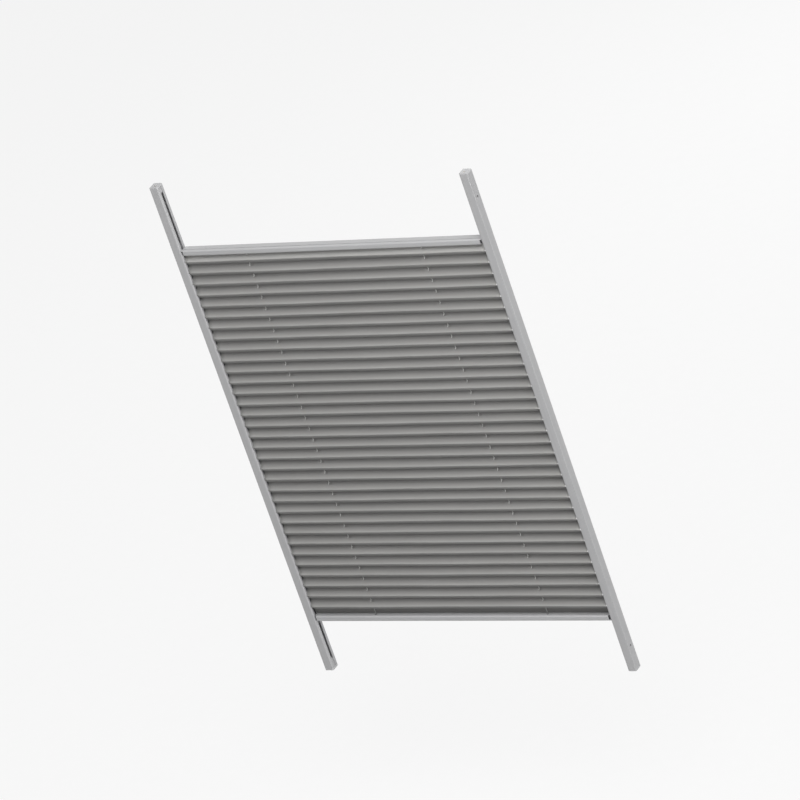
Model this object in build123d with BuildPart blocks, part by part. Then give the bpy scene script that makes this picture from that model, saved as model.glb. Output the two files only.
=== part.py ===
"""Pleated blind on two side rails: both bars slide, with the pleated fabric hung between them.

The frame: X runs across the blind and is 0 midway between the rails, Y runs from the blind's front (minus)
to its back (plus) and is 0 at mid depth of the rails, Z runs up the rails from their lower ends.
"""
import os
from math import cos, atan2

from build123d import *

# Overall sizes
blind_width = 660.0
blind_length = 1025.0
top_bar_drop = 130.4
bottom_bar_rise = 106.9

# Fabric
pleat_count = 33
pleat_depth = 8.4
pleat_setback = 0.8
fabric_thickness = 0.5
fold_radius = 0.9
first_valley_drop = 22.3
last_valley_rise = 10.9
fabric_side_gap = 0.4
cord_slot_width = 2.4
cord_slot_depth = 2.2
cord_valley_gap = 1.8

# Side rail section
rail_face = 17.0
rail_wall = 1.4
rail_front_lip = 5.8
rail_slot = 6.0
rail_back_lip = 6.2
rail_edge_radius = 0.9
lip_edge_radius = 3.0
screw_hole_diameter = 4.0
screw_end_margin = 50.0
screw_line_setback = 9.0

# Bar section
bar_height = 11.0
bar_depth = 17.4
bar_wall = 1.2
bar_setback = 0.3
bar_end_gap = 0.6
nose_radius = 2.6
back_edge_radius = 0.6
groove_width = 1.5
groove_depth = 0.7
groove_setback = 4.7
notch_reach = 3.2
notch_depth = 4.6

# Keyhole groove that holds the fabric's rod
rod_diameter = 2.4
rod_gap = 0.2
rod_rise = 2.7
keyhole_back_wall = 3.6
keyhole_front_wall = 0.6
keyhole_roof = 1.0
fabric_slot_width = 1.4
rod_end_gap = 1.0

# Cords and what guides them
cord_diameter = 1.2
cord_place = 182.0
cord_run_height = 7.4
cord_turn_radius = 3.0
cord_passage = 1.9
cord_eye_bore = 1.7
eye_diameter = 2.6
eye_flange_diameter = 3.8
eye_flange = 0.6

# Glides at the bar ends
glide_plug = 14.0
glide_gap = 0.15
neck_gap = 0.3
shoe_height = 22.0
shoe_thickness = 12.6
shoe_side_gap = 0.4
shoe_base_gap = 0.3
shoe_chamfer = 1.2
shoe_cord_inset = 6.3

# Caps at the rail ends, with the cord ends in them
cap_plate = 3.0
cap_plug_gap = 0.2
top_plug = 12.0
bottom_plug = 17.0
ferrule_diameter = 3.6
ferrule_length = 6.0
ferrule_well = 8.0
ferrule_gap = 0.3
spring_diameter = 5.0
spring_wire = 0.6
spring_turns = 6
spring_gap = 0.4
spring_well = 16.0
bead_diameter = 4.8
bead_length = 3.0
bead_rise = 2.0

# One overrun serves every cut
overrun = 2.0

# Places worked out from the sizes above
half_width = blind_width / 2
top_bar_base = blind_length - top_bar_drop - bar_height
bottom_bar_crown = bottom_bar_rise + bar_height
rail_depth = rail_front_lip + rail_slot + rail_back_lip
front_y = -rail_depth / 2
back_y = rail_depth / 2
slot_front_y = front_y + rail_front_lip
slot_back_y = slot_front_y + rail_slot
ridge_y = front_y + pleat_setback
valley_y = ridge_y + pleat_depth
cord_y = valley_y - cord_valley_gap
lip_x = half_width - rail_face
lip_inner_x = lip_x + rail_wall
web_inner_x = half_width - rail_wall
bar_front_y = front_y + bar_setback
bar_back_y = bar_front_y + bar_depth
bar_mid_y = (bar_front_y + bar_back_y) / 2
bar_mid_z = top_bar_base + bar_height / 2
bar_top = top_bar_base + bar_height
bar_half = lip_x - bar_end_gap
notch_x = bar_half - notch_reach
keyhole_radius = rod_diameter / 2 + rod_gap
keyhole_y = bar_back_y - keyhole_back_wall - keyhole_radius
keyhole_z = top_bar_base + rod_rise
boss_front_y = keyhole_y - keyhole_radius - keyhole_front_wall
boss_top = keyhole_z + keyhole_radius + keyhole_roof
chamber_front_y = bar_front_y + bar_wall
chamber_back_y = bar_back_y - bar_wall
chamber_base = top_bar_base + bar_wall
chamber_top = bar_top - bar_wall
run_z = top_bar_base + cord_run_height
fabric_half = lip_x - fabric_side_gap
shoe_inner_x = lip_inner_x + shoe_side_gap
shoe_outer_x = shoe_inner_x + shoe_thickness
rail_cord_x = shoe_inner_x + shoe_cord_inset
shoe_base = top_bar_base + shoe_base_gap
shoe_top = top_bar_base + shoe_height
ferrule_z = blind_length - ferrule_well
bead_top = bead_rise + bead_length
mid_height = (top_bar_base + bottom_bar_crown) / 2
pleat_pitch = (top_bar_base - first_valley_drop - bottom_bar_crown - last_valley_rise) / (pleat_count - 1)
across = Plane.YZ
left_to_right = Plane.YZ
top_to_bottom = Plane.XY.offset(mid_height)

os.makedirs("parts", exist_ok=True)


def save(piece, label):
    """Name one finished piece and write it."""
    piece.part.label = label
    export_step(piece.part, f"parts/{label}.step")


def mirrored(piece, plane):
    """Make the opposite hand of a piece."""
    with BuildPart() as twin:
        mirror(piece.part, about=plane)
    return twin


def save_sides(left, name):
    """Write a left piece and its right twin."""
    save(left, f"left_{name}")
    save(mirrored(left, left_to_right), f"right_{name}")


def save_corners(top_left, name):
    """Write a piece of the top bar's left end and its twins at the other three bar ends."""
    bottom_left = mirrored(top_left, top_to_bottom)
    save(top_left, f"top_left_{name}")
    save(mirrored(top_left, left_to_right), f"top_right_{name}")
    save(bottom_left, f"bottom_left_{name}")
    save(mirrored(bottom_left, left_to_right), f"bottom_right_{name}")


def block(x_low, x_high, y_low, y_high, z_low, z_high, mode=Mode.ADD):
    """Add or cut a box between two corners of the frame."""
    with BuildSketch(Plane.XY.offset(z_low)) as base:
        with Locations(((x_low + x_high) / 2, (y_low + y_high) / 2)):
            Rectangle(x_high - x_low, y_high - y_low)
    extrude(base.sketch, amount=z_high - z_low, mode=mode)


def upright(x, y, z_low, z_high, diameter, mode=Mode.ADD):
    """Add or cut a round rod that stands along Z."""
    with BuildSketch(Plane.XY.offset(z_low)) as base:
        with Locations((x, y)):
            Circle(diameter / 2)
    extrude(base.sketch, amount=z_high - z_low, mode=mode)


def cavity_sketch(gap):
    """Draw the inside of the rail's channel, smaller by a gap all round."""
    with BuildSketch(Plane.XY) as cavity:
        with Locations((-(web_inner_x + lip_inner_x) / 2, 0)):
            Rectangle(web_inner_x - lip_inner_x - 2 * gap, rail_depth - 2 * rail_wall - 2 * gap)
    return cavity.sketch


def rail_outline():
    """Draw the left rail's outline, with a rounder edge in front beside the fabric."""
    with BuildSketch(Plane.XY) as outline:
        with Locations((-(half_width + lip_x) / 2, 0)):
            Rectangle(rail_face, rail_depth)
        fillet(outline.vertices().group_by(Axis.X)[-1].sort_by(Axis.Y)[:1], lip_edge_radius)
        fillet(outline.vertices().group_by(Axis.X)[0], rail_edge_radius)
        fillet(outline.vertices().group_by(Axis.X)[-1].sort_by(Axis.Y)[-1:], rail_edge_radius)
    return outline.sketch


def side_rail():
    """Make the left rail: a channel with a slot between two lips and two screw holes."""
    with BuildPart() as rail:
        with BuildSketch(Plane.XY.offset(cap_plate)):
            add(rail_outline())
            add(cavity_sketch(0), mode=Mode.SUBTRACT)
            with Locations((-(lip_x + lip_inner_x) / 2, (slot_front_y + slot_back_y) / 2)):
                Rectangle(rail_wall + overrun, rail_slot, mode=Mode.SUBTRACT)
        extrude(amount=blind_length - 2 * cap_plate)
        with BuildSketch(across.offset(-half_width - overrun)):
            screw_y = front_y + screw_line_setback
            with Locations((screw_y, screw_end_margin), (screw_y, blind_length - screw_end_margin)):
                Circle(screw_hole_diameter / 2)
        extrude(amount=rail_wall + 2 * overrun, mode=Mode.SUBTRACT)
    return rail


def cap_plate_block(z_low):
    """Add the plate that closes one end of the left rail."""
    with BuildSketch(Plane.XY.offset(z_low)) as base:
        add(rail_outline())
    extrude(base.sketch, amount=cap_plate)


def cap_plug(z_low, length):
    """Add the plug that fills one end of the left rail's channel."""
    with BuildSketch(Plane.XY.offset(z_low)) as base:
        add(cavity_sketch(cap_plug_gap))
    extrude(base.sketch, amount=length)


def top_cap():
    """Make the left rail's top cap, with a well for the cord's ferrule."""
    with BuildPart() as cap:
        cap_plate_block(blind_length - cap_plate)
        cap_plug(blind_length - cap_plate - top_plug, top_plug)
        upright(-rail_cord_x, cord_y, ferrule_z, blind_length + overrun,
                ferrule_diameter + 2 * ferrule_gap, Mode.SUBTRACT)
        upright(-rail_cord_x, cord_y, blind_length - cap_plate - top_plug - overrun, blind_length,
                cord_passage, Mode.SUBTRACT)
    return cap


def bottom_cap():
    """Make the left rail's bottom cap, with a well for the spring that keeps the cord tight."""
    with BuildPart() as cap:
        cap_plate_block(0)
        cap_plug(cap_plate, bottom_plug)
        upright(-rail_cord_x, cord_y, -overrun, spring_well, spring_diameter + 2 * spring_gap, Mode.SUBTRACT)
        upright(-rail_cord_x, cord_y, 0, cap_plate + bottom_plug + overrun, cord_passage, Mode.SUBTRACT)
    return cap


def upper_ferrule():
    """Make the crimped sleeve that ends the left cord in the top cap."""
    with BuildPart() as ferrule:
        upright(-rail_cord_x, cord_y, ferrule_z, ferrule_z + ferrule_length, ferrule_diameter)
        chamfer(ferrule.edges().filter_by(GeomType.CIRCLE), ferrule_gap)
    return ferrule


def lower_bead():
    """Make the bead that ends the left cord below its spring."""
    with BuildPart() as bead:
        upright(-rail_cord_x, cord_y, bead_rise, bead_top, bead_diameter)
        chamfer(bead.edges().filter_by(GeomType.CIRCLE).sort_by(Axis.Z)[:1], ferrule_gap)
    return bead


def tension_spring():
    """Make the small pressed spring between the bottom cap's well and the cord's bead."""
    coil_radius = (spring_diameter - spring_wire) / 2
    coil_height = spring_well - bead_top - spring_wire - 2 * ferrule_gap
    coil_base = bead_top + spring_wire / 2 + ferrule_gap
    with BuildPart() as spring:
        with BuildLine():
            coil_centre = (-rail_cord_x, cord_y, coil_base)
            coil = Helix(coil_height / spring_turns, coil_height, coil_radius, center=coil_centre)
        with BuildSketch(Plane(origin=coil @ 0, z_dir=coil % 0)):
            Circle(spring_wire / 2)
        sweep()
    return spring


def bar_section():
    """Draw the bar: round nose edges, two finger grooves, a hollow for the cord and a keyhole groove."""
    with BuildSketch(across.offset(-bar_half)) as section:
        with Locations((bar_mid_y, bar_mid_z)):
            outline = Rectangle(bar_depth, bar_height)
        fillet(outline.vertices().group_by(Axis.X)[0], nose_radius)
        fillet(section.vertices().group_by(Axis.X)[-1], back_edge_radius)
        groove_y = bar_front_y + groove_setback
        with Locations((groove_y, bar_top), (groove_y, top_bar_base)):
            Rectangle(groove_width, 2 * groove_depth, mode=Mode.SUBTRACT)
        add(chamber_sketch(0), mode=Mode.SUBTRACT)
        with Locations((keyhole_y, keyhole_z)):
            Circle(keyhole_radius, mode=Mode.SUBTRACT)
        with Locations((keyhole_y, top_bar_base)):
            Rectangle(fabric_slot_width, 2 * rod_rise, mode=Mode.SUBTRACT)
    return section


def chamber_sketch(gap):
    """Draw the bar's hollow, an upright L in front of and above the keyhole, smaller by a gap."""
    with BuildSketch(Plane.XY) as chamber:
        with BuildLine():
            Polyline(
                (chamber_front_y + gap, chamber_base + gap),
                (boss_front_y - gap, chamber_base + gap),
                (boss_front_y - gap, boss_top + gap),
                (chamber_back_y - gap, boss_top + gap),
                (chamber_back_y - gap, chamber_top - gap),
                (chamber_front_y + gap, chamber_top - gap),
                close=True,
            )
        make_face()
    return chamber.sketch


def cut_notch(side):
    """Cut back the bar's front wall at one end, under a strip of its top wall that runs on."""
    x_low, x_high = sorted((side * notch_x, side * (bar_half + overrun)))
    block(x_low, x_high, bar_front_y - overrun, bar_front_y + notch_depth,
          top_bar_base - overrun, chamber_top, Mode.SUBTRACT)


def sliding_bar():
    """Make the top bar, with its end notches and the two holes for the cord eyes."""
    with BuildPart() as bar:
        extrude(bar_section().sketch, amount=2 * bar_half)
        for side in (-1, 1):
            cut_notch(side)
            upright(side * cord_place, cord_y, top_bar_base - overrun, chamber_base + overrun,
                    eye_diameter, Mode.SUBTRACT)
    return bar


def cord_route():
    """Lay the left cord's way through the top bar: down the shoe, along the bar, down to the fabric."""
    return FilletPolyline(
        (-rail_cord_x, cord_y, shoe_top),
        (-rail_cord_x, cord_y, run_z),
        (-cord_place, cord_y, run_z),
        (-cord_place, cord_y, top_bar_base),
        radius=cord_turn_radius,
    )


def bar_cord(diameter):
    """Sweep a round section along the cord's way through the top bar."""
    with BuildPart() as cord:
        with BuildLine():
            cord_route()
        with BuildSketch(Plane.XY.offset(shoe_top)):
            with Locations((-rail_cord_x, cord_y)):
                Circle(diameter / 2)
        sweep()
    return cord


def end_glide():
    """Make the top bar's left glide: a plug in the bar, a neck in the rail's slot and a shoe behind it."""
    passage = bar_cord(cord_passage)
    with BuildPart() as glide:
        with BuildSketch(across.offset(-bar_half)):
            add(chamber_sketch(glide_gap))
        extrude(amount=glide_plug)
        block(-bar_half - overrun, -notch_x + glide_gap, bar_front_y, bar_front_y + notch_depth + glide_gap,
              top_bar_base, chamber_top - glide_gap, Mode.SUBTRACT)
        block(-shoe_outer_x, -shoe_inner_x, front_y + rail_wall + shoe_side_gap,
              back_y - rail_wall - shoe_side_gap, shoe_base, shoe_top)
        chamfer(glide.edges().filter_by(Axis.X).group_by(Axis.Z)[-1], shoe_chamfer)
        chamfer(glide.faces().sort_by(Axis.X)[0].edges().filter_by(Axis.Y), shoe_chamfer)
        block(-shoe_inner_x, -bar_half, slot_front_y + neck_gap, slot_back_y - neck_gap,
              chamber_base + glide_gap, chamber_top - glide_gap)
        add(passage.part, mode=Mode.SUBTRACT)
    return glide


def fabric_rod():
    """Make the rod on the fabric's end that lies in the top bar's keyhole groove."""
    rod_half = bar_half - glide_plug - rod_end_gap
    with BuildPart() as rod:
        with BuildSketch(across.offset(-rod_half)):
            with Locations((keyhole_y, keyhole_z)):
                Circle(rod_diameter / 2)
        extrude(amount=2 * rod_half)
    return rod


def cord_eye():
    """Make the flanged eye that leads the left cord out of the top bar's underside."""
    with BuildPart() as eye:
        upright(-cord_place, cord_y, top_bar_base - eye_flange, top_bar_base, eye_flange_diameter)
        upright(-cord_place, cord_y, top_bar_base, chamber_base, eye_diameter)
        upright(-cord_place, cord_y, top_bar_base - eye_flange - overrun, chamber_base + overrun,
                cord_eye_bore, Mode.SUBTRACT)
    return eye


def fold_points(shift):
    """List the corners of the pleats from the top bar's groove to the bottom bar's groove."""
    rod_radius = rod_diameter / 2
    corners = [(keyhole_y, keyhole_z - rod_radius - rod_gap), (keyhole_y, top_bar_base)]
    first_valley = top_bar_base - first_valley_drop
    for pleat in range(pleat_count):
        valley_z = first_valley - pleat * pleat_pitch
        corners.append((ridge_y, valley_z + pleat_pitch / 2))
        corners.append((valley_y, valley_z))
    mirror_z = 2 * mid_height
    corners.append((keyhole_y, bottom_bar_crown))
    corners.append((keyhole_y, mirror_z - keyhole_z + rod_radius + rod_gap))
    return [(y + shift, z) for y, z in corners]


def pleated_fabric():
    """Make the fabric as one folded sheet, narrower where it enters the bars and slotted for the cords."""
    panel_lean = cos(atan2(pleat_depth, pleat_pitch / 2))
    shift = fabric_thickness / panel_lean / 2
    entry_half = bar_half - glide_plug - rod_end_gap
    with BuildPart() as fabric:
        with BuildSketch(across.offset(-fabric_half)):
            with BuildLine():
                front_side = FilletPolyline(*fold_points(-shift), radius=fold_radius)
                back_side = FilletPolyline(*fold_points(shift), radius=fold_radius)
                Line(front_side @ 0, back_side @ 0)
                Line(front_side @ 1, back_side @ 1)
            make_face()
        extrude(amount=2 * fabric_half)
        for side in (-1, 1):
            x_low, x_high = sorted((side * entry_half, side * (fabric_half + overrun)))
            block(x_low, x_high, front_y, back_y, top_bar_base - shoe_base_gap, bar_top, Mode.SUBTRACT)
            block(x_low, x_high, front_y, back_y, bottom_bar_crown - bar_height,
                  bottom_bar_crown + shoe_base_gap, Mode.SUBTRACT)
            slot_low = side * cord_place - cord_slot_width / 2
            block(slot_low, slot_low + cord_slot_width, cord_y - cord_slot_depth / 2,
                  cord_y + cord_slot_depth / 2, bottom_bar_crown, top_bar_base, Mode.SUBTRACT)
    return fabric


def straight_cord(x, z_low, z_high):
    """Make a tight stretch of cord along Z."""
    with BuildPart() as cord:
        upright(x, cord_y, z_low, z_high, cord_diameter)
    return cord


save_sides(side_rail(), "side_rail")
save_sides(top_cap(), "top_cap")
save_sides(bottom_cap(), "bottom_cap")
save_sides(upper_ferrule(), "upper_ferrule")
save_sides(lower_bead(), "lower_bead")
save_sides(tension_spring(), "tension_spring")

top_bar = sliding_bar()
save(top_bar, "top_bar")
save(mirrored(top_bar, top_to_bottom), "bottom_bar")
top_rod = fabric_rod()
save(top_rod, "top_fabric_rod")
save(mirrored(top_rod, top_to_bottom), "bottom_fabric_rod")
save_corners(end_glide(), "glide")
save_corners(cord_eye(), "cord_eye")
save_corners(bar_cord(cord_diameter), "bar_cord")

save(pleated_fabric(), "pleated_fabric")
save_sides(straight_cord(-rail_cord_x, shoe_top, ferrule_z), "upper_cord")
save_sides(straight_cord(-cord_place, bottom_bar_crown, top_bar_base), "fabric_cord")
save_sides(straight_cord(-rail_cord_x, bead_top, 2 * mid_height - shoe_top), "lower_cord")

print(f"pleat pitch {pleat_pitch:.2f} mm, cord turn radius {cord_turn_radius:.1f} mm")
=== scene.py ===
"""Looks of the pleated blind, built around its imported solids. Lengths are in metres, in the solids' frame."""

import bpy
import numpy as np
from mathutils import Matrix, Vector


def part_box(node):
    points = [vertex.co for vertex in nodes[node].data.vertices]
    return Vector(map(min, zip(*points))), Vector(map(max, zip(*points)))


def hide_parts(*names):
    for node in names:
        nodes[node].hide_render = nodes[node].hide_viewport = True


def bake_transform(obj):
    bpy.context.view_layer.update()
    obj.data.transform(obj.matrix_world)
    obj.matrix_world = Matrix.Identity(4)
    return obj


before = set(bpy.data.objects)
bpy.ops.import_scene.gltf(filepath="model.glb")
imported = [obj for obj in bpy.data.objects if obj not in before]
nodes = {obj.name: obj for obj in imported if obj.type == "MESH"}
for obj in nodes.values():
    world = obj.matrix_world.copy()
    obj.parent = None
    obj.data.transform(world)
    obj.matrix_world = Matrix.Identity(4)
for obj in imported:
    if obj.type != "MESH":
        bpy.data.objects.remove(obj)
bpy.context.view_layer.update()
SIDES = ("left", "right")
BARS = ("top", "bottom")

# Pleats, as many, as deep and as far from the bars as those of the solid
PLEAT_COUNT = 33
PLEAT_DEPTH = 0.0084
PLEAT_SETBACK = 0.0008
FIRST_VALLEY_DROP = 0.0223
LAST_VALLEY_RISE = 0.0109

# The valley, counted from 0 at the top, that stays in place and where the cloth's two stretches meet
SPLIT_VALLEY = 16

# Cord slots, drawn in closer than those of the solid, so that the cords show as faint marks
CORD_SLOT_WIDTH = 0.0017
CORD_SLOT_DEPTH = 0.0019

# Softness of the cloth
CLOTH_THICKNESS = 0.00042
FOLD_ROUND_SHARE = 0.05
RIDGE_DROOP = 0.0013
PANEL_SAG = 0.0003

# Unevenness of the cloth, from fold to fold and along each fold
CLOTH_SEED = 7
PITCH_SCATTER = 0.00018
SCATTER_LIMIT = 2
FOLD_WAVE = 0.00016
WAVE_LENGTHS = (0.47, 0.23, 0.11)
WAVE_DRIFT = 1.3
WAVE_INWARD_SHARE = 0.5

# Fineness of the meshes. A panel's rows, as shares of it, lie at and near its folds, on and between the edges
# of a cord slot at whichever end is the valley, and at its middle.
PANEL_ROWS = np.array([0, 0.035, 0.101, 0.176, 0.252, 0.327, 0.5, 0.673, 0.748, 0.824, 0.899, 0.965])
INNER_COLUMNS = 45
OUTER_COLUMNS = 18
FOLD_SAMPLES = 15
CORD_SIDES = 16

# Places read from the frame
top_bar_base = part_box("top_bar")[0].z
bottom_bar_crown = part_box("bottom_bar")[1].z
cloth_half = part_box("pleated_fabric")[1].x
rod_low, rod_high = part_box("top_fabric_rod")
entry_y = (rod_low.y + rod_high.y) / 2
cord_low, cord_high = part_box("right_fabric_cord")
cord_x = (cord_low.x + cord_high.x) / 2
cord_y = (cord_low.y + cord_high.y) / 2
cord_radius = (cord_high.x - cord_low.x) / 2
ridge_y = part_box("left_side_rail")[0].y + PLEAT_SETBACK
valley_y = ridge_y + PLEAT_DEPTH
pleat_pitch = (top_bar_base - FIRST_VALLEY_DROP - bottom_bar_crown - LAST_VALLEY_RISE) / (PLEAT_COUNT - 1)


def mesh_object(name, points, faces):
    """Put an array of points and a list of faces into a new smooth mesh object at the origin."""
    mesh = bpy.data.meshes.new(name)
    mesh.from_pydata(np.asarray(points).reshape(-1, 3), [], faces)
    mesh.polygons.foreach_set("use_smooth", np.full(len(mesh.polygons), True))
    mesh.update()
    piece = bpy.data.objects.new(name, mesh)
    bpy.context.scene.collection.objects.link(piece)
    return piece


def grid_faces(rows, columns):
    """Number the quads of a grid of points, row by row."""
    row, column = np.meshgrid(np.arange(rows - 1), np.arange(columns - 1), indexing="ij")
    first = row * columns + column
    return np.stack([first, first + 1, first + columns + 1, first + columns], -1)


def set_uv(piece, corner_uv):
    """Give a piece its UV map, one UV for each corner in the order of its faces."""
    layer = piece.data.uv_layers.new(name="UVMap")
    layer.data.foreach_set("uv", corner_uv.astype(np.float32).ravel())


# The cloth

def fold_corners():
    """List the cloth's fold corners (y, z) from the top bar's groove to the bottom bar's groove.

    Valleys lie a pitch apart, and each ridge half a pitch above its valley, less the droop. Both are then
    scattered a little along z.
    """
    valley_z = top_bar_base - FIRST_VALLEY_DROP - pleat_pitch * np.arange(PLEAT_COUNT)
    chance = np.random.default_rng(CLOTH_SEED)
    shift = PITCH_SCATTER * chance.normal(size=(PLEAT_COUNT, 2)).clip(-SCATTER_LIMIT, SCATTER_LIMIT)
    ridge_z = valley_z + pleat_pitch / 2 - RIDGE_DROOP
    ridges = np.stack([np.full(PLEAT_COUNT, ridge_y), ridge_z + shift[:, 0]], -1)
    valleys = np.stack([np.full(PLEAT_COUNT, valley_y), valley_z + shift[:, 1]], -1)
    pleats = np.stack([ridges, valleys], 1).reshape(-1, 2)
    return np.vstack([[entry_y, top_bar_base], pleats, [entry_y, bottom_bar_crown]])


def column_places():
    """Spread the columns across the cloth, with one on each edge of the cord slots."""
    slot = CORD_SLOT_WIDTH / 2
    inner = np.linspace(-cord_x + slot, cord_x - slot, INNER_COLUMNS)
    outer = np.linspace(cord_x + slot, cloth_half, OUTER_COLUMNS)
    return np.concatenate([-outer[::-1], inner, outer])


def cloth_line(corners, s):
    """Carry s along the folds: the line through the corners, averaged over a short window, less a sag.

    The average leaves the panels straight and rounds the folds. The sag lowers each panel by a half sine.
    """
    number = np.arange(len(corners))
    window = np.linspace(-FOLD_ROUND_SHARE, FOLD_ROUND_SHARE, FOLD_SAMPLES)
    near = np.clip(s[:, None] + window, 0, number[-1])
    y, z = (np.interp(near, number, corners[:, k]).mean(1) for k in (0, 1))
    return np.stack([y, z - PANEL_SAG * np.sin(np.pi * (s % 1))], -1)


def fold_waver(s, u, number):
    """Make the folds waver: three slow sines along u whose phases drift from fold to fold.

    The waver fades to nothing along the panels at the bars.
    """
    chance = np.random.default_rng(CLOTH_SEED + 1)
    waver = np.zeros((len(s), len(u)))
    for k, length in enumerate(WAVE_LENGTHS):
        phase = np.cumsum(chance.normal(0, WAVE_DRIFT, number))
        turn = np.interp(s, np.arange(number), phase)
        waver += np.sin(2 * np.pi * u[None, :] / length + turn[:, None]) / (k + 1)
    held = np.minimum(1, np.minimum(s, number - 1 - s))
    return waver * held[:, None]


def cord_slot_cells(corners, s, u):
    """Tell which cells of the cloth's grid have their middle in a cord slot, on the folds' unrounded line."""
    straight_y = np.interp(s, np.arange(len(corners)), corners[:, 0])
    mid_y = ((straight_y[1:] + straight_y[:-1]) / 2)[:, None]
    mid_u = ((u[1:] + u[:-1]) / 2)[None, :]
    across = np.abs(np.abs(mid_u) - cord_x) < CORD_SLOT_WIDTH / 2
    inward = np.abs(mid_y - cord_y) < CORD_SLOT_DEPTH / 2
    return across & inward


def mark_fold_depth(piece, points, s):
    """Write each point's share of the way from the ridges to the valleys, along y.

    The first panel counts as a ridge all over, because it leaves the top bar's groove without a fold, so the
    painted fold shade stays off it and the painted ridge highlight covers it.
    """
    depth = piece.data.attributes.new("fold_depth", "FLOAT", "POINT")
    share = np.clip((points[..., 1] - ridge_y) / PLEAT_DEPTH, 0, 1) * (s > 1)[:, None]
    depth.data.foreach_set("value", share.astype(np.float32).ravel())


def cloth_piece(name, panel_from, panel_to):
    """Make one stretch of the pleated cloth, a surface of u across and s along, open at the cord slots.

    A point is u, the line's y plus a share of the waver, and the line's z plus the waver.
    """
    corners = fold_corners()
    s = np.append((np.arange(panel_from, panel_to)[:, None] + PANEL_ROWS).ravel(), panel_to)
    u = column_places()
    line = cloth_line(corners, s)
    waver = FOLD_WAVE * fold_waver(s, u, len(corners))
    points = np.zeros((len(s), len(u), 3))
    points[..., 0] = u
    points[..., 1] = line[:, :1] + WAVE_INWARD_SHARE * waver
    points[..., 2] = line[:, 1:] + waver
    faces = grid_faces(len(s), len(u))[~cord_slot_cells(corners, s, u)]
    piece = mesh_object(name, points, faces.tolist())
    along = np.concatenate([[0], np.cumsum(np.linalg.norm(np.diff(line, axis=0), axis=1))])
    uv = np.stack(np.broadcast_arrays(u[None, :], along[:, None]), -1)
    set_uv(piece, uv.reshape(-1, 2)[faces])
    mark_fold_depth(piece, points, s)
    thicken = piece.modifiers.new("cloth_thickness", "SOLIDIFY")
    thicken.thickness = CLOTH_THICKNESS
    thicken.offset = 0
    return piece, float(along[-1])


def share_evenly(piece):
    """Read the piece's points into an array; nothing further is done with them."""
    place = np.zeros(3 * len(piece.data.vertices), np.float32)
    piece.data.vertices.foreach_get("co", place)


def pleated_cloth(material):
    """Hang the cloth as two stretches, each between the middle fold and one bar, and return that fold's z."""
    split_panel = 2 * SPLIT_VALLEY + 2
    last_panel = 2 * PLEAT_COUNT + 1
    split_z = float(fold_corners()[split_panel][1])
    for name, low, high, bar, bar_z in (
        ("upper_pleats", 0, split_panel, "top", top_bar_base),
        ("lower_pleats", split_panel, last_panel, "bottom", bottom_bar_crown),
    ):
        piece, length = cloth_piece(name, low, high)
        piece.data.materials.append(material)
        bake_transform(piece)
        share_evenly(piece)
        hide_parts("pleated_fabric")
    return split_z


# The cords

def cord_tube(name, x, z_fixed, z_moving):
    """Make a tight straight cord between two heights.

    It is a circle carried along a line, closed by two flat ends.
    """
    low, high = sorted((z_fixed, z_moving))
    number = np.arange(CORD_SIDES)
    after = (number + 1) % CORD_SIDES
    turn = 2 * np.pi * number / CORD_SIDES
    points = np.zeros((2, CORD_SIDES, 3))
    points[..., 0] = x + cord_radius * np.cos(turn)
    points[..., 1] = cord_y + cord_radius * np.sin(turn)
    points[..., 2] = np.array([[low], [high]])
    wall = np.stack([number, after, CORD_SIDES + after, CORD_SIDES + number], -1)
    ends = [number[::-1].tolist(), (CORD_SIDES + number).tolist()]
    piece = mesh_object(name, points, wall.tolist() + ends)
    smooth = np.arange(CORD_SIDES + len(ends)) < CORD_SIDES
    piece.data.polygons.foreach_set("use_smooth", smooth)
    step = 2 * np.pi * cord_radius / CORD_SIDES
    around = step * (number[:, None] + np.array([0, 1, 1, 0]))
    upward = np.broadcast_to([low, low, high, high], around.shape)
    wall_uv = np.stack([around, upward], -1).reshape(-1, 2)
    end_uv = cord_radius * np.stack([np.cos(turn), np.sin(turn)], -1)
    set_uv(piece, np.vstack([wall_uv, end_uv[::-1], end_uv]))
    return piece


def tight_cords(material, split_z):
    """Stretch the cords above, between and below the bars, each from a fixed point to a bar."""
    for side in SIDES:
        above_low, above_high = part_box(f"{side}_upper_cord")
        rail_x = (above_low.x + above_high.x) / 2
        cloth_low, cloth_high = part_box(f"{side}_fabric_cord")
        fabric_x = (cloth_low.x + cloth_high.x) / 2
        below_low, below_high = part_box(f"{side}_lower_cord")
        for name, node, x, fixed, moving, bar in (
            ("cord_above", "upper_cord", rail_x, above_high.z, above_low.z, "top_bar"),
            ("cord_in_upper_pleats", "fabric_cord", fabric_x, split_z, cloth_high.z, "top_bar"),
            ("cord_in_lower_pleats", "fabric_cord", fabric_x, split_z, cloth_low.z, "bottom_bar"),
            ("cord_below", "lower_cord", rail_x, below_low.z, below_high.z, "bottom_bar"),
        ):
            piece = cord_tube(f"{side}_{name}", x, fixed, moving)
            piece.data.materials.append(material)
            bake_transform(piece)
            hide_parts(f"{side}_{node}")


# Effects that the finishes share

# The part of the noise's range that is spread to 0..1
NOISE_LOW = 0.3
NOISE_HIGH = 0.7

# Octaves of the noise
CLOUD_DETAIL = 2.0
GRAIN_DETAIL = 3.0
LINE_DETAIL = 4.0

# Sockets of a Mix node that hold its colours and their mixture
MIX_FIRST = 6
MIX_SECOND = 7
MIX_RESULT = 2


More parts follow.
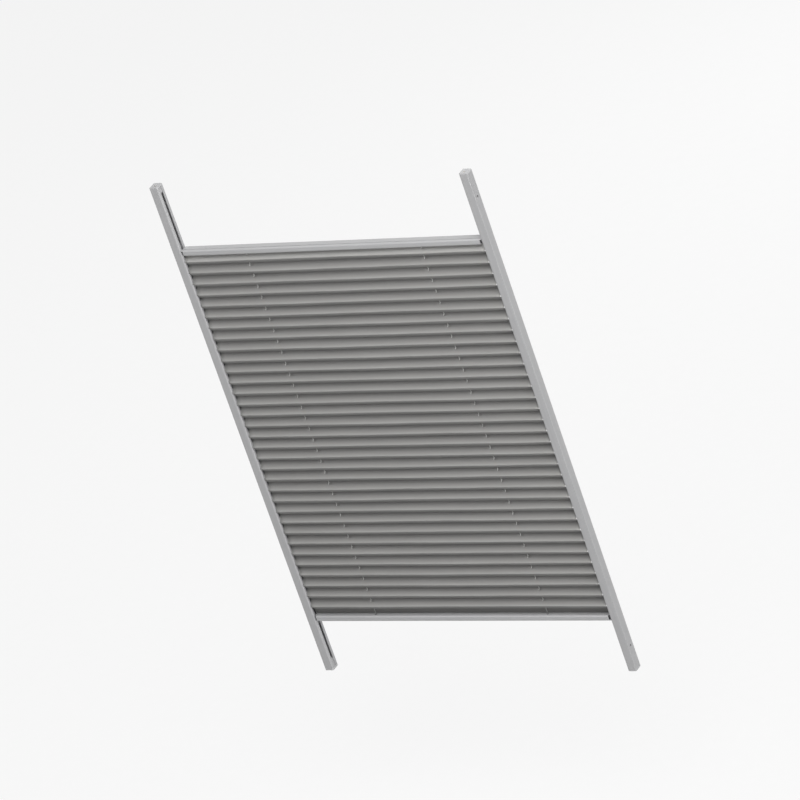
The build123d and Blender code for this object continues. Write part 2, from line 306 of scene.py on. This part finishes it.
def new_group(name, inputs, outputs):
    """Start a node group with named sockets, each given as (name, type)."""
    tree = bpy.data.node_groups.new(name, "ShaderNodeTree")
    for socket, kind in inputs:
        tree.interface.new_socket(name=socket, in_out="INPUT", socket_type=kind)
    for socket, kind in outputs:
        tree.interface.new_socket(name=socket, in_out="OUTPUT", socket_type=kind)
    return tree, tree.nodes.new("NodeGroupInput").outputs, tree.nodes.new("NodeGroupOutput").inputs


def feed(tree, socket, value):
    """Link an output to a socket, or set the socket to a plain value."""
    if isinstance(value, bpy.types.NodeSocket):
        tree.links.new(value, socket)
    else:
        socket.default_value = value


def math_node(tree, operation, first, second=0.0):
    """Add one Math node and return its value."""
    node = tree.nodes.new("ShaderNodeMath")
    node.operation = operation
    feed(tree, node.inputs[0], first)
    feed(tree, node.inputs[1], second)
    return node.outputs[0]


def thread_weave_group():
    """Plain weave: crowns of two crossing thread sets, |sin| of u and of v, that take turns on top."""
    tree, given, put = new_group(
        "thread_weave",
        [("Coordinates", "NodeSocketVector"), ("Threads", "NodeSocketFloat")],
        [("Height", "NodeSocketFloat"), ("Warp", "NodeSocketFloat")],
    )
    split = tree.nodes.new("ShaderNodeSeparateXYZ")
    tree.links.new(given["Coordinates"], split.inputs[0])
    turn = math_node(tree, "MULTIPLY", given["Threads"], float(np.pi))
    warp_wave = math_node(tree, "SINE", math_node(tree, "MULTIPLY", split.outputs[0], turn))
    weft_wave = math_node(tree, "SINE", math_node(tree, "MULTIPLY", split.outputs[1], turn))
    warp_on_top = math_node(tree, "GREATER_THAN", math_node(tree, "MULTIPLY", warp_wave, weft_wave))
    weft_on_top = math_node(tree, "SUBTRACT", 1.0, warp_on_top)
    warp = math_node(tree, "MULTIPLY", math_node(tree, "ABSOLUTE", warp_wave), warp_on_top)
    weft = math_node(tree, "MULTIPLY", math_node(tree, "ABSOLUTE", weft_wave), weft_on_top)
    tree.links.new(math_node(tree, "ADD", warp, weft), put["Height"])
    tree.links.new(warp_on_top, put["Warp"])
    return tree


def drawn_noise_group():
    """Noise drawn out along an axis: the coordinates times a stretch, then fractal noise spread to 0..1."""
    tree, given, put = new_group(
        "drawn_noise",
        [("Coordinates", "NodeSocketVector"), ("Stretch", "NodeSocketVector"), ("Detail", "NodeSocketFloat")],
        [("Value", "NodeSocketFloat")],
    )
    scale = tree.nodes.new("ShaderNodeVectorMath")
    scale.operation = "MULTIPLY"
    tree.links.new(given["Coordinates"], scale.inputs[0])
    tree.links.new(given["Stretch"], scale.inputs[1])
    noise = tree.nodes.new("ShaderNodeTexNoise")
    noise.inputs["Scale"].default_value = 1.0
    tree.links.new(scale.outputs[0], noise.inputs["Vector"])
    tree.links.new(given["Detail"], noise.inputs["Detail"])
    spread = tree.nodes.new("ShaderNodeMapRange")
    spread.inputs["From Min"].default_value = NOISE_LOW
    spread.inputs["From Max"].default_value = NOISE_HIGH
    tree.links.new(noise.outputs[0], spread.inputs["Value"])
    tree.links.new(spread.outputs["Result"], put["Value"])
    return tree


THREAD_WEAVE = thread_weave_group()
DRAWN_NOISE = drawn_noise_group()


def drawn_noise(tree, place, stretch, detail=CLOUD_DETAIL):
    """Place the drawn noise with its own stretch."""
    node = tree.nodes.new("ShaderNodeGroup")
    node.node_tree = DRAWN_NOISE
    tree.links.new(place, node.inputs["Coordinates"])
    node.inputs["Stretch"].default_value = stretch
    node.inputs["Detail"].default_value = detail
    return node.outputs["Value"]


def thread_weave(tree, place, threads):
    """Place the weave with so many threads to the metre, and return its Height and Warp."""
    node = tree.nodes.new("ShaderNodeGroup")
    node.node_tree = THREAD_WEAVE
    tree.links.new(place, node.inputs["Coordinates"])
    node.inputs["Threads"].default_value = threads
    return node.outputs


def between(tree, share, low, high):
    """Spread a 0..1 value between two numbers."""
    node = tree.nodes.new("ShaderNodeMapRange")
    tree.links.new(share, node.inputs["Value"])
    node.inputs["To Min"].default_value = low
    node.inputs["To Max"].default_value = high
    return node.outputs["Result"]


def full_colour(colour):
    """Pass a colour's socket on, or add the fourth value to three plain ones."""
    return colour if isinstance(colour, bpy.types.NodeSocket) else (*colour, 1)


def tint(tree, share, first, second):
    """Mix two colours by a 0..1 value."""
    node = tree.nodes.new("ShaderNodeMix")
    node.data_type = "RGBA"
    tree.links.new(share, node.inputs[0])
    feed(tree, node.inputs[MIX_FIRST], full_colour(first))
    feed(tree, node.inputs[MIX_SECOND], full_colour(second))
    return node.outputs[MIX_RESULT]


def shade(colour, factor):
    """Scale a colour's three values."""
    return tuple(min(1.0, factor * value) for value in colour)


def tint_shades(tree, share, colour, factors):
    """Mix two shades of one colour by a 0..1 value."""
    dark, light = factors
    return tint(tree, share, shade(colour, dark), shade(colour, light))


def raise_bump(tree, shader, height, strength, distance):
    """Turn a height into the shader's normal."""
    node = tree.nodes.new("ShaderNodeBump")
    node.inputs["Strength"].default_value = strength
    node.inputs["Distance"].default_value = distance
    tree.links.new(height, node.inputs["Height"])
    tree.links.new(node.outputs["Normal"], shader.inputs["Normal"])


# Finishes. A stretch is the noise's fineness to the metre along each axis. A bump is its strength and height.

def new_finish(name, coordinates="Object", **plain):
    """Start a finish: its shader, with the sockets that are the same all over, and its coordinates."""
    material = bpy.data.materials.new(name)
    material.use_nodes = True
    tree = material.node_tree
    shader = tree.nodes["Principled BSDF"]
    for socket, value in plain.items():
        shader.inputs[socket.replace("_", " ")].default_value = value
    place = tree.nodes.new("ShaderNodeTexCoord").outputs[coordinates]
    return material, tree, shader, place


# The cloth's grey and threads, the shades that yarns and clouds give it, and the painted shade deep in its
# folds and painted highlight on its outer folds
CLOTH_GREY = (0.26, 0.257, 0.250)
CLOTH_THREADS = 2300.0
CLOTH_ROUGHNESS = (0.95, 0.78)
CLOTH_BUMP = (0.35, 0.00012)
SLUB_STRETCH = (18.0, 1500.0, 1.0)
SLUB_SHADES = (0.90, 1.08)
WARP_SHADE = 0.94
CLOTH_CLOUD_STRETCH = (7.0, 9.0, 1.0)
CLOTH_CLOUD_SHARE = 0.35
CLOTH_CLOUD_SHADE = 1.10
PAINTED_FOLD_SHADE_SHARE = 0.9
PAINTED_FOLD_SHADE = 0.40
PAINTED_HIGHLIGHT_SHARPNESS = 12.0
PAINTED_HIGHLIGHT_SHARE = 0.55
PAINTED_HIGHLIGHT_SHADE = 1.30


def depth_in_fold(tree):
    """Tell how deep a spot lies in the folds of its own side, 0 on an outer fold and 1 on an inner one."""
    fold = tree.nodes.new("ShaderNodeAttribute")
    fold.attribute_name = "fold_depth"
    facing = tree.nodes.new("ShaderNodeSeparateXYZ")
    tree.links.new(tree.nodes.new("ShaderNodeNewGeometry").outputs["True Normal"], facing.inputs[0])
    at_back = math_node(tree, "GREATER_THAN", facing.outputs[1])
    return math_node(tree, "ABSOLUTE", math_node(tree, "SUBTRACT", at_back, fold.outputs["Fac"]))


def cloth_finish():
    """Matt woven polyester: crossing threads and uneven yarns, with painted shade in the inner folds and a
    painted highlight on the outer folds.
    """
    material, tree, shader, place = new_finish(
        "grey_pleat_cloth", "UV", Sheen_Weight=0.12, Sheen_Roughness=0.5, Specular_IOR_Level=0.25)
    weave = thread_weave(tree, place, CLOTH_THREADS)
    slub = drawn_noise(tree, place, SLUB_STRETCH, GRAIN_DETAIL)
    cloud = drawn_noise(tree, place, CLOTH_CLOUD_STRETCH)
    # The depth in the folds drives the painted shade, darker towards the inner folds, and the painted highlight
    # on the outer folds
    inward = depth_in_fold(tree)
    # Painted highlight on the outer folds, narrowing towards the ridges
    painted_ridge_highlight = math_node(tree, "POWER", math_node(tree, "SUBTRACT", 1.0, inward), PAINTED_HIGHLIGHT_SHARPNESS)
    colour = tint_shades(tree, slub, CLOTH_GREY, SLUB_SHADES)
    colour = tint(tree, weave["Warp"], colour, shade(CLOTH_GREY, WARP_SHADE))
    # Random clouds of tone, then painted shade in the inner folds, then a painted highlight on the outer folds
    for mask, share, factor in (
        (cloud, CLOTH_CLOUD_SHARE, CLOTH_CLOUD_SHADE),
        (inward, PAINTED_FOLD_SHADE_SHARE, PAINTED_FOLD_SHADE),
        (painted_ridge_highlight, PAINTED_HIGHLIGHT_SHARE, PAINTED_HIGHLIGHT_SHADE),
    ):
        colour = tint(tree, between(tree, mask, 0.0, share), colour, shade(CLOTH_GREY, factor))
    tree.links.new(colour, shader.inputs["Base Color"])
    tree.links.new(between(tree, weave["Height"], *CLOTH_ROUGHNESS), shader.inputs["Roughness"])
    raise_bump(tree, shader, weave["Height"], *CLOTH_BUMP)
    return material


# Rails and bars, with their drawn lines along the length
ANODISED_GREY = (0.38, 0.38, 0.385)
ANODISED_BUMP = (0.12, 0.00003)
RAIL_LINES = (900.0, 900.0, 5.0)
BAR_LINES = (5.0, 900.0, 900.0)
LINE_SHADES = (0.93, 1.06)
LINE_GLOSS = (-0.05, 0.05)
METAL_CLOUD_STRETCH = (14.0, 14.0, 14.0)
METAL_CLOUD_SHARE = 0.3
METAL_CLOUD_SHADE = 0.92
METAL_CLOUD_GLOSS = (-0.03, 0.03)


def anodised_finish(name, stretch, metallic, roughness):
    """Satin anodised extrusion: fine drawn lines along the length, and a faint cloud in colour and gloss."""
    material, tree, shader, place = new_finish(name, Metallic=metallic)
    lines = drawn_noise(tree, place, stretch, LINE_DETAIL)
    cloud = drawn_noise(tree, place, METAL_CLOUD_STRETCH)
    drawn = tint_shades(tree, lines, ANODISED_GREY, LINE_SHADES)
    clouding = between(tree, cloud, 0.0, METAL_CLOUD_SHARE)
    clouded = tint(tree, clouding, drawn, shade(ANODISED_GREY, METAL_CLOUD_SHADE))
    tree.links.new(clouded, shader.inputs["Base Color"])
    line_gloss = between(tree, lines, *LINE_GLOSS)
    uneven = math_node(tree, "ADD", line_gloss, between(tree, cloud, *METAL_CLOUD_GLOSS))
    tree.links.new(math_node(tree, "ADD", uneven, roughness), shader.inputs["Roughness"])
    raise_bump(tree, shader, lines, *ANODISED_BUMP)
    return material


# Caps, glides with their cord eyes, and fabric rods
CAP_GREY = (0.40, 0.40, 0.405)
GLIDE_GREY = (0.11, 0.11, 0.115)
ROD_GREY = (0.5, 0.5, 0.5)
PLASTIC_SHADES = (0.92, 1.07)
PLASTIC_CLOUD_STRETCH = (60.0, 60.0, 60.0)
PLASTIC_BUMP = (0.25, 0.00004)
PIT_GLOSS = 0.08


def moulded_finish(name, colour, grain, roughness):
    """Moulded plastic: a fine spark-eroded grain and slightly clouded colour."""
    material, tree, shader, place = new_finish(name)
    pits = drawn_noise(tree, place, (grain, grain, grain), GRAIN_DETAIL)
    cloud = drawn_noise(tree, place, PLASTIC_CLOUD_STRETCH)
    tree.links.new(tint_shades(tree, cloud, colour, PLASTIC_SHADES), shader.inputs["Base Color"])
    pitted = between(tree, pits, roughness - PIT_GLOSS, roughness + PIT_GLOSS)
    tree.links.new(pitted, shader.inputs["Roughness"])
    raise_bump(tree, shader, pits, *PLASTIC_BUMP)
    return material


# Cords
CORD_DARK = (0.17, 0.168, 0.162)
CORD_LIGHT = (0.32, 0.316, 0.308)
CORD_THREADS = 2100.0
CORD_SLANT = float(np.pi / 4)
CORD_ROUGHNESS = (0.9, 0.7)
CORD_BUMP = (0.5, 0.0001)


def cord_finish():
    """Braided cord: strands that cross at a slant round it."""
    material, tree, shader, place = new_finish("braided_cord", "UV", Sheen_Weight=0.2)
    slant = tree.nodes.new("ShaderNodeMapping")
    slant.inputs["Rotation"].default_value = (0.0, 0.0, CORD_SLANT)
    tree.links.new(place, slant.inputs["Vector"])
    height = thread_weave(tree, slant.outputs["Vector"], CORD_THREADS)["Height"]
    tree.links.new(tint(tree, height, CORD_DARK, CORD_LIGHT), shader.inputs["Base Color"])
    tree.links.new(between(tree, height, *CORD_ROUGHNESS), shader.inputs["Roughness"])
    raise_bump(tree, shader, height, *CORD_BUMP)
    return material


# Sleeves, beads and springs
BRASS = (0.70, 0.60, 0.36)
BRASS_LINES = (900.0, 900.0, 4000.0)
SPRING_STEEL = (0.62, 0.62, 0.63)
SPRING_LINES = (3000.0, 3000.0, 3000.0)
WIRE_SHADES = (0.82, 1.05)
WIRE_SMOOTHER = 0.08
WIRE_ROUGHER = 0.1
WIRE_BUMP = (0.2, 0.00003)


def wire_finish(name, colour, stretch, roughness):
    """Drawn or turned metal: close lines in the colour and in the gloss."""
    material, tree, shader, place = new_finish(name, Metallic=1.0)
    lines = drawn_noise(tree, place, stretch, GRAIN_DETAIL)
    tree.links.new(tint_shades(tree, lines, colour, WIRE_SHADES), shader.inputs["Base Color"])
    lined = between(tree, lines, roughness - WIRE_SMOOTHER, roughness + WIRE_ROUGHER)
    tree.links.new(lined, shader.inputs["Roughness"])
    raise_bump(tree, shader, lines, *WIRE_BUMP)
    return material


def dress(material, names):
    """Give solids their finish."""
    for name in names:
        nodes[name].data.materials.clear()
        nodes[name].data.materials.append(material)


def dress_blind():
    """Make the cloth and cords, and give every piece its finish."""
    cord = cord_finish()
    split_z = pleated_cloth(cloth_finish())
    tight_cords(cord, split_z)
    ends = [f"{bar}_{side}" for bar in BARS for side in SIDES]
    dress(cord, [f"{end}_bar_cord" for end in ends])
    dress(anodised_finish("anodised_rail", RAIL_LINES, metallic=0.4, roughness=0.40),
          [f"{side}_side_rail" for side in SIDES])
    dress(anodised_finish("anodised_bar", BAR_LINES, metallic=0.15, roughness=0.36),
          [f"{bar}_bar" for bar in BARS])
    dress(moulded_finish("grey_cap", CAP_GREY, grain=2600.0, roughness=0.50),
          [f"{side}_{bar}_cap" for side in SIDES for bar in BARS])
    dress(moulded_finish("dark_glide", GLIDE_GREY, grain=3000.0, roughness=0.45),
          [f"{end}_{piece}" for end in ends for piece in ("glide", "cord_eye")])
    dress(moulded_finish("grey_rod", ROD_GREY, grain=1500.0, roughness=0.4),
          [f"{bar}_fabric_rod" for bar in BARS])
    dress(wire_finish("crimped_brass", BRASS, BRASS_LINES, roughness=0.32),
          [f"{side}_{piece}" for side in SIDES for piece in ("upper_ferrule", "lower_bead")])
    dress(wire_finish("spring_wire", SPRING_STEEL, SPRING_LINES, roughness=0.28),
          [f"{side}_tension_spring" for side in SIDES])


# Floor, sky, lamps and camera

FLOOR_Z = -0.30
FLOOR_REACH = 12.0
FLOOR_DARK = (0.42, 0.42, 0.42)
FLOOR_LIGHT = (0.46, 0.46, 0.46)
FLOOR_SPECKLE = (40.0, 40.0, 40.0)

# How the stage looks and lights: the share of plain white in the floor as it is seen, and the sky's strength
# as it is seen and as it lights
FLOOR_GLOW_SHARE = 0.88
WHITE_STRENGTH = 1.0
SKY_LIGHT = 0.06

# The spot near the blind's middle that the lamps face, and their directions and distances from it, sizes
# and powers in watts
LAMP_TARGET = Vector((0, 0, 0.5))
LAMPS = {
    "key": ((0.36, -0.34, 0.87), 4.6, 3.0, 250),
    "side": ((0.97, -0.22, 0.10), 3.6, 1.4, 60),
    "front": ((0.10, -0.92, 0.38), 3.6, 1.4, 40),
    "back": ((-0.08, 0.96, 0.22), 3.6, 1.3, 60),
}

# The camera of the photograph, found from the rails' and bars' edges, with its lens and sensor in millimetres
CAMERA_PLACE = (6.1073, -8.1602, 5.5249)
CAMERA_RIGHT = (0.8433, 0.4466, -0.2990)
CAMERA_UP = (0.0201, 0.5298, 0.8479)
CAMERA_BACK = (0.5371, -0.7210, 0.4377)
CAMERA_LENS = 288.4
SENSOR_WIDTH = 36.0
CAMERA_REACH = 100.0


def photo_camera():
    """Stand the camera where the photograph was taken from."""
    data = bpy.data.cameras.new("photo_camera")
    data.lens = CAMERA_LENS
    data.sensor_width = SENSOR_WIDTH
    data.clip_end = CAMERA_REACH
    camera = bpy.data.objects.new("photo_camera", data)
    turn = Matrix((CAMERA_RIGHT, CAMERA_UP, CAMERA_BACK)).transposed()
    camera.matrix_world = Matrix.Translation(CAMERA_PLACE) @ turn.to_4x4()
    bpy.context.scene.collection.objects.link(camera)
    bpy.context.scene.camera = camera


def seen_directly(tree):
    """Tell rays that show the background (camera, glossy, transmission) from those that only light."""
    path = tree.nodes.new("ShaderNodeLightPath")
    glance = math_node(tree, "MAXIMUM", path.outputs["Is Camera Ray"], path.outputs["Is Glossy Ray"])
    return math_node(tree, "MAXIMUM", glance, path.outputs["Is Transmission Ray"])


def pale_floor():
    """Lay a pale floor that keeps a soft shadow."""
    corners = np.array([(-1, -1, 0), (1, -1, 0), (1, 1, 0), (-1, 1, 0)]) * FLOOR_REACH + (0, 0, FLOOR_Z)
    floor = mesh_object("floor", corners, [(0, 1, 2, 3)])
    material, tree, shader, place = new_finish("pale_floor", Roughness=0.9)
    speckle = drawn_noise(tree, place, FLOOR_SPECKLE)
    tree.links.new(tint(tree, speckle, FLOOR_DARK, FLOOR_LIGHT), shader.inputs["Base Color"])
    glow = tree.nodes.new("ShaderNodeEmission")
    glow.inputs["Strength"].default_value = WHITE_STRENGTH
    blend = tree.nodes.new("ShaderNodeMixShader")
    tree.links.new(math_node(tree, "MULTIPLY", seen_directly(tree), FLOOR_GLOW_SHARE), blend.inputs[0])
    tree.links.new(shader.outputs[0], blend.inputs[1])
    tree.links.new(glow.outputs[0], blend.inputs[2])
    tree.links.new(blend.outputs[0], tree.nodes["Material Output"].inputs["Surface"])
    floor.data.materials.append(material)


def white_sky():
    """Put up a sky that looks white and lights little."""
    world = bpy.data.worlds.new("white_sky")
    bpy.context.scene.world = world
    world.use_nodes = True
    tree = world.node_tree
    sky = tree.nodes["Background"]
    sky.inputs["Color"].default_value = (1, 1, 1, 1)
    strength = between(tree, seen_directly(tree), SKY_LIGHT, WHITE_STRENGTH)
    tree.links.new(strength, sky.inputs["Strength"])


def soft_lamp(name, direction, distance, size, power):
    """Hang one soft square lamp in a direction from the lamps' target, turned to it."""
    light = bpy.data.lights.new(name, "AREA")
    light.shape = "SQUARE"
    light.size = size
    light.energy = power
    lamp = bpy.data.objects.new(name, light)
    place = LAMP_TARGET + Vector(direction).normalized() * distance
    lamp.location = place
    lamp.rotation_euler = (LAMP_TARGET - place).to_track_quat("-Z", "Y").to_euler()
    bpy.context.scene.collection.objects.link(lamp)


dress_blind()
pale_floor()
white_sky()
for lamp_name, lamp_values in LAMPS.items():
    soft_lamp(lamp_name, *lamp_values)
photo_camera()
bpy.context.scene.view_settings.view_transform = "Standard"
